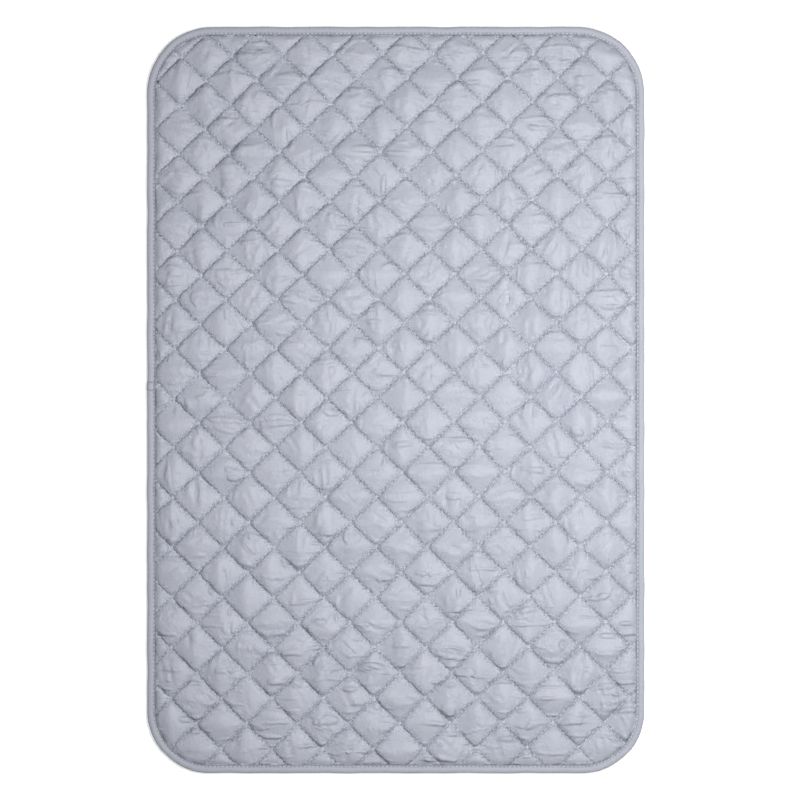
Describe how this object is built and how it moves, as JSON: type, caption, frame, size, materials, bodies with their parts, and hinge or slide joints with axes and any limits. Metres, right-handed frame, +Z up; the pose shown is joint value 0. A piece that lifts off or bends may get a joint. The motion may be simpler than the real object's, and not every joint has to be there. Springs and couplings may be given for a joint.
{
  "type": "quilted ironing pad",
  "caption": "Flat rectangular ironing pad with rounded corners, quilted in diamonds and bound round its edge with a folded tape; lies on a table as a padded, heat-resistant ironing surface.",
  "frame": {"origin": "middle of the pad's length and width, on the table surface that it lies on", "axes": "+Z up out of the ironing face, +Y along the pad's length, +X across its width"},
  "size_m": [0.4003, 0.6, 0.0078],
  "materials": {
    "coated_cotton": "silver-grey plain weave, soft sheen",
    "polyester_wadding": "white fleecy fibre",
    "backing_cotton": "pale grey plain weave, matt",
    "binding_tape": "silver-grey woven tape",
    "sewing_thread": "pale grey twisted thread"
  },
  "bodies": {
    "root": {"face_cloth": "coated_cotton", "wadding": "polyester_wadding", "backing_cloth": "backing_cotton", "edge_binding": "binding_tape", "needle_thread_rising": "sewing_thread", "needle_thread_falling": "sewing_thread", "bobbin_thread_rising": "sewing_thread", "bobbin_thread_falling": "sewing_thread", "binding_needle_thread": "sewing_thread", "binding_bobbin_thread": "sewing_thread"}
  },
  "joints": []
}
